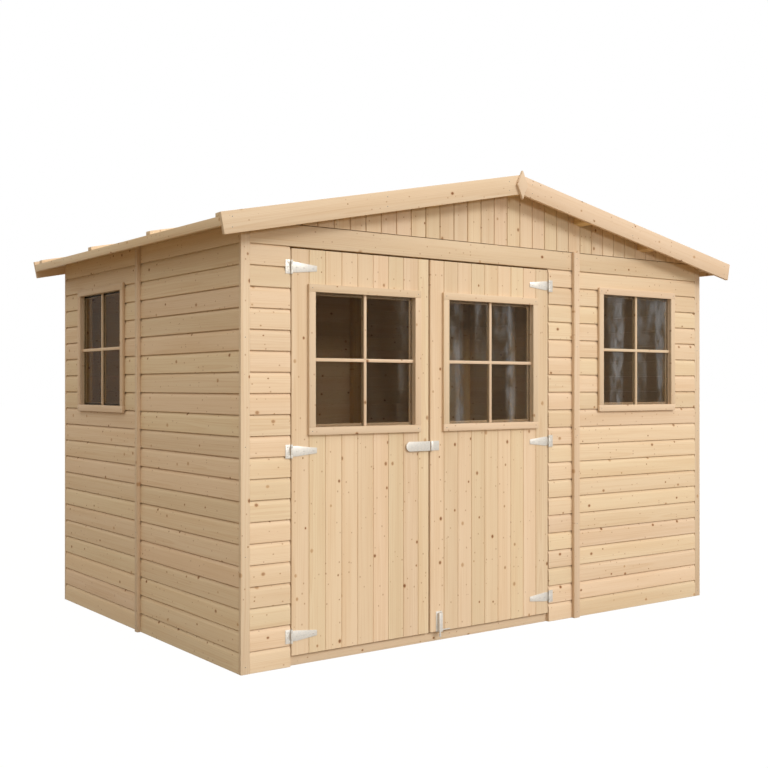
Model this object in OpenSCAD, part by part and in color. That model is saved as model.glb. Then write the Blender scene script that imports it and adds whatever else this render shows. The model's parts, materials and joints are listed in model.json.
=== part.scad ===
// Wooden garden shed with a low gable roof, a pair of boarded doors and four small windows.
// Millimetres. X runs to the right along the front, Y to the back, Z up.
// The origin is on the ground at the centre of the footprint.

/* [Walls] */
// Width across the front, over the cladding
shed_w = 2920; // [2880:10:3000]
// Depth from the front cladding to the back cladding
shed_d = 2000; // [1960:10:2100]
// Thickness of the cladding, the door boards and the corner boards
clad_t = 18; // [14:1:20]
// Depth of the wall framing behind the cladding
frame_d = 45; // [40:1:50]
// Width of one stud or plate of the wall framing
stud_w = 28; // [24:1:32]
// Height of the door head, where the header boards begin
head_h = 1762; // [1750:1:1770]
// Width of a corner board on the front and back faces
corner_w = 42; // [36:1:48]
// Thickness of the strips that cover the panel joints
strip_t = 18; // [14:1:20]
// Width of the strip over the joint in the front and back walls
end_strip_w = 39; // [32:1:44]
// Width of the strip over the joint in each side wall
side_strip_w = 28; // [24:1:36]
// Distance from the left corner to the panel joint of the front wall
panel_joint = 1922; // [1912:1:1930]

/* [Roof] */
// Slope of the roof in degrees
pitch = 11.45; // [11:0.05:12]
// Height of the top line of the bargeboards at the ridge
barge_ridge_h = 2184; // [2170:1:2200]
// Width of a bargeboard
barge_w = 90; // [80:1:95]
// Thickness of a bargeboard
barge_t = 17; // [14:1:20]
// Length of a bargeboard beyond the eave fascia
barge_over = 6; // [0:1:12]
// Height of the bargeboards and battens above the roof boards
barge_lip = 16; // [12:1:20]
// Thickness of the roof boards
deck_t = 16; // [14:1:18]
// Overhang of the roof beyond the side walls
eave_over = 137; // [120:1:150]
// Overhang of the roof beyond the front and back walls
verge_over = 97; // [85:1:110]
// Height of an eave fascia
fascia_h = 38; // [34:1:50]
// Thickness of an eave fascia
fascia_t = 16; // [12:1:18]
// Width of a roof batten
batten_w = 40; // [30:1:45]
// Width of a purlin
purlin_w = 45; // [35:1:50]
// Depth of a purlin, square to the slope
purlin_d = 58; // [50:1:60]
// Depth of the ridge beam
ridge_d = 58; // [45:1:58]
// Horizontal spacing of the purlins from the ridge
purlin_step = 480; // [460:5:490]
// Width of a finial
finial_w = 68; // [60:1:76]
// Height of a finial
finial_h = 138; // [120:1:145]
// Height of a finial's tip above the bargeboards
finial_tip = 19; // [10:1:40]
// Thickness of a finial
finial_t = 14; // [10:1:18]

/* [Doors] */
// Distance from the left corner to the doorway
door_left = 235; // [230:1:245]
// Width of the doorway
doorway_w = 1504; // [1500:1:1508]
// Gap between a leaf and the side of the doorway
jamb_gap = 5; // [5:1:6]
// Distance from the left corner to the line where the leaves meet
meeting_line = 979; // [975:1:990]
// Gap between the two leaves
meeting_gap = 8; // [8:1:10]
// Gap between the leaves and the header
head_gap = 8; // [6:1:10]
// Height of the sill rail under the leaves
sill_h = 40; // [40:1:42]
// Gap between the sill rail and the leaves
sill_gap = 6; // [5:1:8]
// Height of a ledge across the back of a leaf
ledge_h = 90; // [80:1:95]

/* [Windows] */
// Width of the clear opening of a window
window_w = 535; // [500:1:540]
// Height of the clear opening of a window
window_h = 575; // [540:1:580]
// Width of the flat trim around a window
trim_w = 33; // [30:1:38]
// Thickness of the flat trim, in front of the cladding
trim_t = 14; // [10:1:16]
// Thickness of the lining inside the window opening
lining_t = 14; // [10:1:18]
// Distance of the glass behind the cladding face
glass_in = 12; // [8:1:12]
// Thickness of the glass
glass_t = 4; // [3:1:5]
// Height of the centre of the wall windows
wall_window_z = 1365; // [1355:1:1370]
// Height of the centre of the door windows
door_window_z = 1288; // [1278:1:1292]
// Distance from the left corner to the centre of the front window
front_window_x = 2392; // [2388:1:2400]
// Distance of a side window's centre from the middle of its wall
side_window_y = 474; // [470:1:480]
// Distance from the left corner to the centre of the left leaf's window
left_leaf_window_x = 620; // [616:1:626]
// Distance from the left corner to the centre of the right leaf's window
right_leaf_window_x = 1354; // [1350:1:1360]

/* [Ironmongery] */
// Radius of a hinge pin
pin_r = 2.5; // [2:0.1:3]
// Outer radius of a hinge knuckle
knuckle_r = 5.5; // [5:0.1:6]
// Clearance around a pin or bolt rod
pin_gap = 0.06; // [0.05:0.01:0.1]
// Thickness of hinge straps, plates and the hasp
strap_t = 2.5; // [2:0.1:3]
// Length of a hinge strap from the pin
strap_l = 128; // [110:1:140]
// Height of the lowest hinges
low_hinge_z = 128; // [120:1:140]
// Height of the middle hinges
mid_hinge_z = 902; // [890:1:910]
// Height of the top hinges
high_hinge_z = 1675; // [1660:1:1680]
// Height of the hasp
hasp_z = 902; // [895:1:910]
// Width of the hasp's strap
hasp_h = 44; // [36:1:48]
// Length of the hasp's strap, from its round end to the line where the leaves meet
hasp_l = 140; // [120:1:145]
// Radius of the door bolt's rod
rod_r = 5; // [4:0.1:6]
// Travel of the door bolt
bolt_travel = 40; // [30:1:40]

/* [Floor] */
// Thickness of the floor bearers
bearer_t = 24; // [20:1:24]
// Width of a floor bearer
bearer_w = 45; // [40:1:60]
// Thickness of the floor boards
floor_t = 16; // [14:1:16]

/* [Hidden] */
$fn = 32;

half_w = shed_w / 2;
half_d = shed_d / 2;
wall_in = clad_t + frame_d;
// Distance from the middle to the back of the cladding, and to the room face of the framing
frame_w = half_w - clad_t;
frame_y = half_d - clad_t;
room_w = half_w - wall_in;
room_d = half_d - wall_in;
// Gap where two pieces end side by side, and where one is laid under another on the slope
joint_gap = 2;
seat_gap = 0.2;
// How far a cutting shape runs past the face it cuts
past = 1;
rise = tan(pitch);
slant = 1 / cos(pitch);

joint_x = panel_joint - half_w;
doorway_x = [door_left - half_w, door_left + doorway_w - half_w];
meeting_x = meeting_line - half_w;
left_leaf = [doorway_x[0] + jamb_gap, meeting_x - meeting_gap / 2];
right_leaf = [meeting_x + meeting_gap / 2, doorway_x[1] - jamb_gap];
leaf_z = sill_h + sill_gap;
leaf_top = head_h - head_gap;
left_pin_x = doorway_x[0] + jamb_gap / 2;
right_pin_x = doorway_x[1] - jamb_gap / 2;
// Ledges and braces: distance in from a leaf's edge, above its foot, and off its window hole
ledge_in = 24;
ledge_foot = 60;
ledge_off = 20;
brace_in = 40;

front_window = front_window_x - half_w;
left_leaf_window = left_leaf_window_x - half_w;
right_leaf_window = right_leaf_window_x - half_w;
hole_w = window_w + 2 * lining_t;
hole_h = window_h + 2 * lining_t;

// Depths below the top line of the bargeboards, square to the slope
deck_top = barge_lip;
deck_under = deck_top + deck_t;
purlin_top = deck_under + seat_gap;
purlin_under = purlin_top + purlin_d;
eave_x = half_w + eave_over;
verge_y = half_d + verge_over;
barge_back_y = verge_y - barge_t;

// Walls and corner boards stop just under the roof boards, and the gable boards stand on them
roof_gap = 2.5;
wall_h = slope_z(half_w, deck_under) - roof_gap;

// Roof battens: one behind the front bargeboards, two between and one over the back wall
batten_ys = [-barge_back_y + batten_w / 2, -0.402 * half_d, 0.286 * half_d, 0.996 * half_d];
bearer_step = half_d * 0.44;
bearer_count = 5;

// Hinges: heights of the knuckles above and below the middle of a hinge, and sizes of its plates
hinge_zs = [low_hinge_z, mid_hinge_z, high_hinge_z];
strap_knuckle = 14.4;
plate_knuckle = 15;
plate_half_h = 29;
plate_w = 28;
knuckle_off = 0.5;
pin_y = -half_d - knuckle_r - knuckle_off;
knuckle_room = 7;
strap_root_h = 44;
strap_root_l = 20;
strap_tip_h = 23;

// Hasp: gap at the meeting line, distance off the left leaf, and sizes of its staple block and plate
hasp_gap = 5;
hasp_off = 7;
hasp_knuckle = 12;
hasp_knuckle_r = 5;
hasp_plate_w = 40;
staple_in = 24;
staple_w = 24;
staple_h = 18;

// Door bolt: place of the rod, and sizes of its plate, its slotted housing and its lever
rod_in = 51;
rod_off = 9;
rod_tip_z = 21;
rod_top_z = 122;
bolt_plate_w = 36;
bolt_plate_h = 92;
bolt_plate_t = 2;
housing_w = 20;
housing_h = 86;
housing_t = 17;
lever_z = 53;
lever_r = 3;
lever_l = 58;
lever_gap = 0.5;

pine = "#E6C99C";
pale_pine = "#EBD2AA";
frame_pine = "#D9B988";
steel = "#C9CBCB";
pane = "#6D7672";

// Height of a line parallel to the slope, at x from the ridge and at a depth square to the slope
function slope_z(x, depth) = barge_ridge_h - x * rise - depth * slant;

// A box from its low corner to its high corner
module box(low, high) {
    translate(low) cube(high - low);
}

// Stands an outline drawn in X and Z up between two planes of Y
module along_y(y0, y1) {
    translate([0, y1, 0]) rotate([90, 0, 0]) linear_extrude(y1 - y0) children();
}

// A length of the right-hand slope between two depths, with upright ends
module slope_band(x0, x1, top, under) {
    polygon([
        [x0, slope_z(x0, top)], [x1, slope_z(x1, top)],
        [x1, slope_z(x1, under)], [x0, slope_z(x0, under)]
    ]);
}

// Draws its children as they are and mirrored to the left
module both_sides() {
    children();
    mirror([1, 0, 0]) children();
}

// Draws its children as they are and mirrored to the back
module both_ends() {
    children();
    mirror([0, 1, 0]) children();
}

// ---------- floor ----------

module floor_bearers() {
    color(frame_pine)
        for (i = [0 : bearer_count - 1])
            translate([0, (i - (bearer_count - 1) / 2) * bearer_step, 0])
                box([-room_w + joint_gap, -bearer_w / 2, 0], [room_w - joint_gap, bearer_w / 2, bearer_t]);
}

module floor_boards() {
    color(pine)
        box([-room_w + joint_gap, -room_d + joint_gap, bearer_t],
            [room_w - joint_gap, room_d - joint_gap, bearer_t + floor_t]);
}

module door_sill() {
    color(pine) box([doorway_x[0], -frame_y, 0], [doorway_x[1], -room_d, sill_h]);
}

// ---------- walls ----------

// A slab of front cladding between two distances from the middle
module front_slab(x0, x1, z0, z1) {
    color(pine) box([x0, -half_d, z0], [x1, -frame_y, z1]);
}

// A slab of left cladding between two distances from the middle
module left_slab(y0, y1) {
    color(pine) box([-half_w, y0, 0], [-frame_w, y1, wall_h]);
}

// The hole for one window, centred at the origin of X and Z and cut through the front wall
module window_hole() {
    box([-hole_w / 2, -half_d - past, -hole_h / 2], [hole_w / 2, -frame_y + past, hole_h / 2]);
}

// Places a window that is drawn on the front wall: on the front, or turned to the left wall
module place_front_window() {
    translate([front_window, 0, wall_window_z]) children();
}

module place_left_window() {
    translate([-half_w, side_window_y, wall_window_z]) rotate([0, 0, -90])
        translate([0, half_d, 0]) children();
}

module front_wall_left() {
    front_slab(-half_w + corner_w, doorway_x[0], 0, head_h);
}

module front_wall_middle() {
    front_slab(doorway_x[1], joint_x, 0, head_h);
}

module front_wall_right() {
    difference() {
        front_slab(joint_x, half_w - corner_w, 0, head_h);
        place_front_window() window_hole();
    }
}

module front_header() {
    front_slab(-half_w + corner_w, half_w - corner_w, head_h, wall_h);
}

// The triangle of boards under the roof, notched over the ridge beam and the purlins
module gable_outline() {
    difference() {
        both_sides() polygon([
            [0, wall_h], [0, slope_z(0, purlin_top)],
            [half_w, slope_z(half_w, purlin_top)], [half_w, wall_h]
        ]);
        ridge_outline();
        both_sides() purlin_outlines();
    }
}

module front_gable() {
    color(pine) along_y(-half_d, -frame_y) gable_outline();
}

module left_wall_front() {
    left_slab(-frame_y, 0);
}

module left_wall_rear() {
    difference() {
        left_slab(0, frame_y);
        place_left_window() window_hole();
    }
}

module right_wall_front() {
    mirror([1, 0, 0]) left_wall_front();
}

// The right wall has no window
module right_wall_rear() {
    mirror([1, 0, 0]) left_slab(0, frame_y);
}

module back_wall_left() {
    color(pine) box([-half_w + corner_w, frame_y, 0], [joint_x, half_d, wall_h]);
}

module back_wall_right() {
    color(pine) box([joint_x, frame_y, 0], [half_w - corner_w, half_d, wall_h]);
}

module back_gable() {
    mirror([0, 1, 0]) front_gable();
}

// ---------- framing ----------

// One stud of an end wall, standing on the bottom plate of the front wall
module end_stud(x, w) {
    box([x, -frame_y, stud_w], [x + w, -room_d, head_h]);
}

// One stud of a side wall
module side_stud(y, w) {
    box([-frame_w, y, stud_w], [-room_w, y + w, wall_h - stud_w]);
}

module wall_studs() {
    corner_x = room_w - joint_gap - stud_w;
    back_x = -half_w / 3;
    color(frame_pine) {
        both_ends() {
            both_sides() end_stud(corner_x, stud_w);
            end_stud(joint_x - stud_w, 2 * stud_w);
        }
        end_stud(doorway_x[0] - stud_w, stud_w);
        end_stud(doorway_x[1], stud_w);
        end_stud(front_window - hole_w / 2 - stud_w, stud_w);
        end_stud(front_window + hole_w / 2, stud_w);
        mirror([0, 1, 0]) end_stud(back_x, stud_w);
        both_sides() {
            side_stud(-frame_y, stud_w);
            side_stud(-stud_w, 2 * stud_w);
            side_stud(frame_y - stud_w, stud_w);
        }
        side_stud(side_window_y - hole_w / 2 - stud_w, stud_w);
        side_stud(side_window_y + hole_w / 2, stud_w);
        mirror([1, 0, 0]) side_stud(frame_y / 2, stud_w);
    }
}

module wall_plates() {
    end_x = room_w - joint_gap;
    color(frame_pine) {
        box([-end_x, -frame_y, 0], [doorway_x[0], -room_d, stud_w]);
        box([doorway_x[1], -frame_y, 0], [end_x, -room_d, stud_w]);
        box([-end_x, room_d, 0], [end_x, frame_y, stud_w]);
        both_ends() box([-end_x, -frame_y, head_h], [end_x, -room_d, head_h + stud_w]);
        both_sides() {
            box([room_w, -frame_y, 0], [frame_w, frame_y, stud_w]);
            box([room_w, -frame_y, wall_h - stud_w], [frame_w, frame_y, wall_h]);
        }
    }
}

// Sloping rails that carry the purlins behind the gable boards; their feet stand on the top plates
module gable_rails() {
    foot_x = (slope_z(0, purlin_under + frame_d) - head_h - stud_w) / rise;
    color(frame_pine)
        both_ends() both_sides()
            along_y(-frame_y, -room_d)
                slope_band(joint_gap, foot_x, purlin_under + seat_gap, purlin_under + frame_d);
}

module corner_boards() {
    color(pale_pine)
        both_ends() both_sides()
            box([half_w - corner_w, -half_d, 0], [half_w, -frame_y, wall_h]);
}

module cover_strips() {
    strip_top = slope_z(half_w + strip_t, deck_under) - roof_gap;
    color(pale_pine) {
        both_ends()
            box([joint_x - end_strip_w / 2, -half_d - strip_t, 0],
                [joint_x + end_strip_w / 2, -half_d, wall_h]);
        both_sides()
            box([half_w, -side_strip_w / 2, 0], [half_w + strip_t, side_strip_w / 2, strip_top]);
    }
}

// ---------- windows ----------

// Trim and lining of one window, centred at the origin of X and Z on the front wall
module window_frame() {
    trim_out_w = window_w / 2 + trim_w;
    trim_out_h = window_h / 2 + trim_w;
    difference() {
        union() {
            box([-trim_out_w, -half_d - trim_t, -trim_out_h], [trim_out_w, -half_d, trim_out_h]);
            box([-hole_w / 2, -half_d, -hole_h / 2], [hole_w / 2, -frame_y, hole_h / 2]);
        }
        box([-window_w / 2, -half_d - trim_t - past, -window_h / 2],
            [window_w / 2, -frame_y + past, window_h / 2]);
    }
}

module window_pane() {
    box([-window_w / 2, -half_d + glass_in, -window_h / 2],
        [window_w / 2, -half_d + glass_in + glass_t, window_h / 2]);
}

module wall_window_frames() {
    color(pale_pine) {
        place_front_window() window_frame();
        place_left_window() window_frame();
    }
}

module wall_window_glass() {
    color(pane) {
        place_front_window() window_pane();
        place_left_window() window_pane();
    }
}

// ---------- roof ----------

// The ridge beam's outline, with its top cut to both slopes
module ridge_outline() {
    top = slope_z(0, purlin_top);
    both_sides() polygon([
        [0, top], [purlin_w / 2, slope_z(purlin_w / 2, purlin_top)],
        [purlin_w / 2, top - ridge_d], [0, top - ridge_d]
    ]);
}

module purlin_outlines() {
    for (x = [purlin_step, 2 * purlin_step])
        slope_band(x - purlin_w / 2, x + purlin_w / 2, purlin_top, purlin_under);
}

module left_roof_boards() {
    mirror([1, 0, 0]) right_roof_boards();
}

module right_roof_boards() {
    color(pine)
        along_y(-barge_back_y, barge_back_y) slope_band(0, eave_x - fascia_t, deck_top, deck_under);
}

module ridge_beam() {
    color(frame_pine) along_y(-barge_back_y, barge_back_y) ridge_outline();
}

module purlins() {
    color(frame_pine) both_sides() along_y(-barge_back_y, barge_back_y) purlin_outlines();
}

// A fascia's top follows the roof boards and its underside is level
module eave_fascias() {
    inner_x = eave_x - fascia_t;
    foot_z = slope_z(eave_x, deck_top) - fascia_h;
    color(pine)
        both_sides() along_y(-barge_back_y, barge_back_y)
            polygon([
                [inner_x, slope_z(inner_x, deck_top)], [eave_x, slope_z(eave_x, deck_top)],
                [eave_x, foot_z], [inner_x, foot_z]
            ]);
}

// A bargeboard's outline: a plumb cut at the ridge and a square cut at the eave
module barge_outline() {
    end_x = eave_x + barge_over;
    polygon([
        [joint_gap / 2, slope_z(joint_gap / 2, 0)], [end_x, slope_z(end_x, 0)],
        [end_x - barge_w * sin(pitch), slope_z(end_x, 0) - barge_w * cos(pitch)],
        [joint_gap / 2, slope_z(joint_gap / 2, barge_w)]
    ]);
}

module bargeboards() {
    color(pale_pine) both_ends() both_sides() along_y(-verge_y, -barge_back_y) barge_outline();
}

module finials() {
    tip_z = barge_ridge_h + finial_tip;
    color(pale_pine)
        both_ends() along_y(-verge_y - finial_t, -verge_y)
            polygon([
                [0, tip_z], [finial_w / 2, tip_z - finial_h / 2],
                [0, tip_z - finial_h], [-finial_w / 2, tip_z - finial_h / 2]
            ]);
}

module roof_battens() {
    color(pine)
        for (y = batten_ys)
            both_sides() along_y(y - batten_w / 2, y + batten_w / 2)
                slope_band(joint_gap / 2, eave_x, 0, deck_top - seat_gap);
}

// ---------- doors ----------

module leaf_boards(leaf, window_x) {
    color(pine)
        difference() {
            box([leaf[0], -half_d, leaf_z], [leaf[1], -frame_y, leaf_top]);
            translate([window_x, 0, door_window_z]) window_hole();
        }
}

// Three ledges and one brace behind a leaf; the brace rises from the hinge side at foot_x
module leaf_ledges(leaf, foot_x, head_x) {
    low_z = leaf_z + ledge_foot;
    mid_z = door_window_z - hole_h / 2 - ledge_off - ledge_h;
    top_z = door_window_z + hole_h / 2 + ledge_off;
    brace_low = low_z + ledge_h + joint_gap;
    brace_high = mid_z - joint_gap;
    color(frame_pine) {
        for (z = [low_z, mid_z, top_z])
            box([leaf[0] + ledge_in, -frame_y, z], [leaf[1] - ledge_in, -frame_y + clad_t, z + ledge_h]);
        along_y(-frame_y, -frame_y + clad_t)
            polygon([
                [foot_x, brace_low], [foot_x + ledge_h, brace_low],
                [head_x + ledge_h, brace_high], [head_x, brace_high]
            ]);
    }
}

module left_door_boards() {
    leaf_boards(left_leaf, left_leaf_window);
}

module left_door_ledges() {
    leaf_ledges(left_leaf, left_leaf[0] + brace_in, left_leaf[1] - brace_in - ledge_h);
}

module left_door_window_frame() {
    color(pale_pine) translate([left_leaf_window, 0, door_window_z]) window_frame();
}

module left_door_glass() {
    color(pane) translate([left_leaf_window, 0, door_window_z]) window_pane();
}

module right_door_boards() {
    leaf_boards(right_leaf, right_leaf_window);
}

module right_door_ledges() {
    leaf_ledges(right_leaf, right_leaf[1] - brace_in - ledge_h, right_leaf[0] + brace_in);
}

module right_door_window_frame() {
    color(pale_pine) translate([right_leaf_window, 0, door_window_z]) window_frame();
}

module right_door_glass() {
    color(pane) translate([right_leaf_window, 0, door_window_z]) window_pane();
}

// ---------- hinges, hasp and bolt ----------

// One strap, drawn to the right of a pin on the Z axis at the origin, against the door face
module hinge_strap() {
    face_y = -half_d - pin_y;
    taper_x = knuckle_room + strap_root_l;
    difference() {
        union() {
            along_y(face_y - strap_t, face_y)
                polygon([
                    [knuckle_room, -strap_root_h / 2], [taper_x, -strap_root_h / 2],
                    [strap_l, -strap_tip_h / 2], [strap_l, strap_tip_h / 2],
                    [taper_x, strap_root_h / 2], [knuckle_room, strap_root_h / 2]
                ]);
            box([0, face_y - strap_t, -strap_knuckle], [knuckle_room + past, face_y, strap_knuckle]);
            translate([0, 0, -strap_knuckle]) cylinder(r = knuckle_r, h = 2 * strap_knuckle);
        }
        translate([0, 0, -strap_knuckle - past])
            cylinder(r = pin_r + pin_gap, h = 2 * (strap_knuckle + past));
    }
}

// One wall plate with its two knuckles and the pin
module hinge_plate() {
    face_y = -half_d - pin_y;
    end_h = plate_half_h - plate_knuckle;
    box([-plate_w, face_y - strap_t, -plate_half_h], [-knuckle_room, face_y, plate_half_h]);
    for (z = [-plate_half_h, plate_knuckle]) {
        box([-knuckle_room - past, face_y - strap_t, z], [0, face_y, z + end_h]);
        translate([0, 0, z]) cylinder(r = knuckle_r, h = end_h);
    }
    translate([0, 0, -plate_half_h]) cylinder(r = pin_r, h = 2 * plate_half_h);
}

module left_door_hinge_straps() {
    color(steel) for (z = hinge_zs) translate([left_pin_x, pin_y, z]) hinge_strap();
}

module right_door_hinge_straps() {
    color(steel) for (z = hinge_zs) translate([right_pin_x, pin_y, z]) mirror([1, 0, 0]) hinge_strap();
}

module hinge_wall_plates() {
    color(steel) for (z = hinge_zs) {
        translate([left_pin_x, pin_y, z]) hinge_plate();
        translate([right_pin_x, pin_y, z]) mirror([1, 0, 0]) hinge_plate();
    }
}

// The long strap with a round end, held off the left leaf by its staple block
module hasp_strap() {
    round_r = hasp_h / 2;
    end_x = meeting_x - hasp_gap / 2;
    tip_x = meeting_x - hasp_l;
    back = -half_d - hasp_off;
    color(steel) {
        along_y(back - strap_t, back)
            union() {
                translate([tip_x + round_r, hasp_z - round_r]) square([end_x - tip_x - round_r, hasp_h]);
                translate([tip_x + round_r, hasp_z]) circle(r = round_r);
            }
        box([tip_x + staple_in, back, hasp_z - staple_h / 2],
            [tip_x + staple_in + staple_w, -half_d, hasp_z + staple_h / 2]);
    }
}

// The short end of the strap, its knuckle and the plate screwed to the right leaf
module hasp_plate() {
    low_z = hasp_z - hasp_h / 2;
    high_z = hasp_z + hasp_h / 2;
    start_x = meeting_x + hasp_gap / 2;
    knuckle_x = start_x + hasp_knuckle;
    back = -half_d - hasp_off;
    color(steel) {
        box([start_x, back - strap_t, low_z], [knuckle_x, back, high_z]);
        translate([knuckle_x, -half_d - hasp_knuckle_r, low_z]) cylinder(r = hasp_knuckle_r, h = hasp_h);
        box([knuckle_x, -half_d - strap_t, low_z], [knuckle_x + hasp_plate_w, -half_d, high_z]);
    }
}

// Places the door bolt, drawn round a rod that stands on the Z axis
module place_bolt() {
    translate([right_leaf[0] + rod_in, -half_d - rod_off, 0]) children();
}

// The slotted housing of the door bolt on its back plate
module bolt_housing() {
    slot_r = lever_r + lever_gap;
    color(steel) place_bolt()
        difference() {
            union() {
                box([-bolt_plate_w / 2, rod_off - bolt_plate_t, leaf_z],
                    [bolt_plate_w / 2, rod_off, leaf_z + bolt_plate_h]);
                box([-housing_w / 2, rod_off - housing_t, leaf_z],
                    [housing_w / 2, rod_off - bolt_plate_t, leaf_z + housing_h]);
            }
            translate([0, 0, leaf_z - past]) cylinder(r = rod_r + pin_gap, h = bolt_plate_h + 2 * past);
            box([0, -slot_r, lever_z - slot_r],
                [housing_w / 2 + past, slot_r, lever_z + bolt_travel + slot_r]);
        }
}

module bolt_rod() {
    color(steel) place_bolt() {
        translate([0, 0, rod_tip_z]) cylinder(r = rod_r, h = rod_top_z - rod_tip_z);
        translate([0, 0, lever_z]) rotate([0, 90, 0]) cylinder(r = lever_r, h = lever_l);
    }
}

floor_bearers();
floor_boards();
door_sill();
front_wall_left();
front_wall_middle();
front_wall_right();
front_header();
front_gable();
left_wall_front();
left_wall_rear();
right_wall_front();
right_wall_rear();
back_wall_left();
back_wall_right();
back_gable();
wall_plates();
wall_studs();
gable_rails();
corner_boards();
cover_strips();
wall_window_frames();
wall_window_glass();
left_roof_boards();
right_roof_boards();
ridge_beam();
purlins();
eave_fascias();
bargeboards();
finials();
roof_battens();
left_door_boards();
left_door_ledges();
left_door_window_frame();
left_door_glass();
left_door_hinge_straps();
hasp_strap();
right_door_boards();
right_door_ledges();
right_door_window_frame();
right_door_glass();
right_door_hinge_straps();
hasp_plate();
bolt_housing();
bolt_rod();
hinge_wall_plates();
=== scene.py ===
"""The looks of a wooden garden shed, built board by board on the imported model.

Metres, in the model's own frame: X to the right along the front, Y to the back, Z up.
"""

import json
import math
import random

import bmesh
import bpy
from mathutils import Euler, Matrix, Vector
from mathutils.bvhtree import BVHTree

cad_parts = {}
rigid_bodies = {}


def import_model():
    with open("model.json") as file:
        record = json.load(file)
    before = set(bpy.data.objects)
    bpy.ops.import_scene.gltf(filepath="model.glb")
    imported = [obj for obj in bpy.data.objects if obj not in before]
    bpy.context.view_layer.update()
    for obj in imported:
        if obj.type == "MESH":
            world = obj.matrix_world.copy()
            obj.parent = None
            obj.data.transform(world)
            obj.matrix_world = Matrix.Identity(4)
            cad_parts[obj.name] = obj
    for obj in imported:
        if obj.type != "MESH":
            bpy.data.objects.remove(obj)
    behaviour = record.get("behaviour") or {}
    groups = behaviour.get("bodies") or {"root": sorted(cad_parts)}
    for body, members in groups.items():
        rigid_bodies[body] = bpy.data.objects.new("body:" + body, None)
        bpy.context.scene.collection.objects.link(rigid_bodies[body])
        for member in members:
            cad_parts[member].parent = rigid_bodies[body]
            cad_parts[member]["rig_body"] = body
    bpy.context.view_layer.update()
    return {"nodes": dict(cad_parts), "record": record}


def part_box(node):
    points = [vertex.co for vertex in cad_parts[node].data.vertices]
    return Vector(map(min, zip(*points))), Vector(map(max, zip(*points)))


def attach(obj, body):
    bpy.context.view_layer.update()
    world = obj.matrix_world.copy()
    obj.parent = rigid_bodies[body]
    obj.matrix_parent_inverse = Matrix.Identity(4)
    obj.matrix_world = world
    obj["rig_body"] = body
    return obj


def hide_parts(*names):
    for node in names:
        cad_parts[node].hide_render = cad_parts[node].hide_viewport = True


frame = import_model()
chance = random.Random(11)

X, Y, Z = Vector((1, 0, 0)), Vector((0, 1, 0)), Vector((0, 0, 1))

# Along a wall as seen from outside, and into it
SIDES = {"front": (X, Y), "right": (Y, -X), "back": (-X, -Y), "left": (-Y, X)}

# Shiplap boards: cover, depth and height of the groove under each board, the slope below it,
# and the vee at the back of each joint
SHIPLAP = 0.088
GROOVE_DEPTH = 0.0105
GROOVE_H = 0.0046
SLOPE_H = 0.017
SLOPE_DEPTH = 0.0058
SLOPE_STEPS = 4
SLOPE_CURVE = 1.4
BACK_VEE = 0.0016
# Matchboards: cover on the doors and gables, on the roof and on the floor, and size of the vee
MATCHBOARD = 0.0837
ROOF_BOARD = 0.0881
FLOOR_BOARD = 0.112
VEE = 0.0028
# Where the tongue of a matchboard starts and ends, as shares of its depth
TONGUE_FRONT = 0.4
TONGUE_BACK = 0.66
# The gables have a larger vee and a wider gap at each edge of a board, and stand clear of the header
DEEP_VEE = 0.0035
OPEN_GAP = 0.0013
FOOT_GAP = 0.0026
# Width of the first board on the left of each leaf, and the share of a board below which the last
# one is part of its neighbour
LEFT_LEAF_FIRST = 0.087
RIGHT_LEAF_FIRST = 0.082
LEAST_BOARD = 0.25
# Tongue of both kinds, the gap at the edge of a board, and the rounding of planed and metal edges
TONGUE = 0.005
GAP = 0.0003
EDGE = 0.0013
METAL_EDGE = 0.0005
# A board's place in its timber: how far along it may lie, and how far its front corner may lie from
# the pith, across and inwards
TIMBER_LENGTH = 60
PITH_ACROSS = 0.04
PITH_INWARD = (0.015, 0.09)
# Windows: trim, lining, glazing bars and the beads behind the glass, and the least distance between
# faces that would share a plane
TRIM_W = 0.033
LINING = 0.014
BAR_W = 0.015
BAR_FRONT = 0.0015
BEAD_W = 0.012
BEAD_T = 0.008
TOUCH = 0.0002
# Screw heads: radius and height, and arm, half width and floor of the cross recess as shares
SCREW_R = 0.0038
SCREW_T = 0.0012
CROSS_ARM = 0.7
CROSS_HALF = 0.13
CROSS_FLOOR = 0.3
# Nail heads: radius and height, the step down a strip, the distance from an end and from the ridge,
# and the places of a pair up a bargeboard
NAIL_R = 0.0021
NAIL_T = 0.0004
NAIL_STEP = 0.42
NAIL_EDGE = 0.03
NAIL_OFF_RIDGE = 0.075
NAIL_SHARES = (0.27, 0.73)
# Sides of a head, and the rings of its dome as shares of radius and height
HEAD_SIDES = 16
HEAD_RINGS = ((1, 0), (1, 0.35), (0.82, 0.8), (0.45, 1))
# Where screws go in a hinge strap and plate, as shares of the way from the hinge and of the height
STRAP_SCREWS = ((0.24, 0.5), (0.52, 0.5), (0.86, 0.5))
PLATE_SCREWS = ((0.68, 0.18), (0.68, 0.5), (0.68, 0.82))
# In degrees: faces that meet at more than the first angle get a rounded edge, at more than the
# second they are shaded with a sharp one, and within the third they are one flat face
ROUND_OVER = 25
SHARP_OVER = 32
FLAT_WITHIN = 0.5
# Corners of the CAD mesh closer than this are one
WELD = 1e-6
# A height above the whole shed
OVERHEAD = 3

# Light from the world near the horizon and overhead, and its tone
SKY_LOW = 0.36
SKY_HIGH = 1.34
SKY_TONE = (1.0, 0.94, 0.83, 1)
# The floor as the shed sees it, half its width, and how it glows for camera, metal and glass
FLOOR_TONE = (0.25, 0.19, 0.115, 1)
FLOOR_REACH = 60
FLOOR_GLOW = 1.12
FLOOR_GLOW_SHARE = 0.88
# Lamps: diameter, power and place
KEY_LAMP = (8.6, 3150, (8.4, -24.1, 14.7))
LOW_LAMP = (1.5, 240, (-1.6, -13.0, 2.6))
LAMPS_LOOK_AT = Vector((0, 0, 1))
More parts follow.
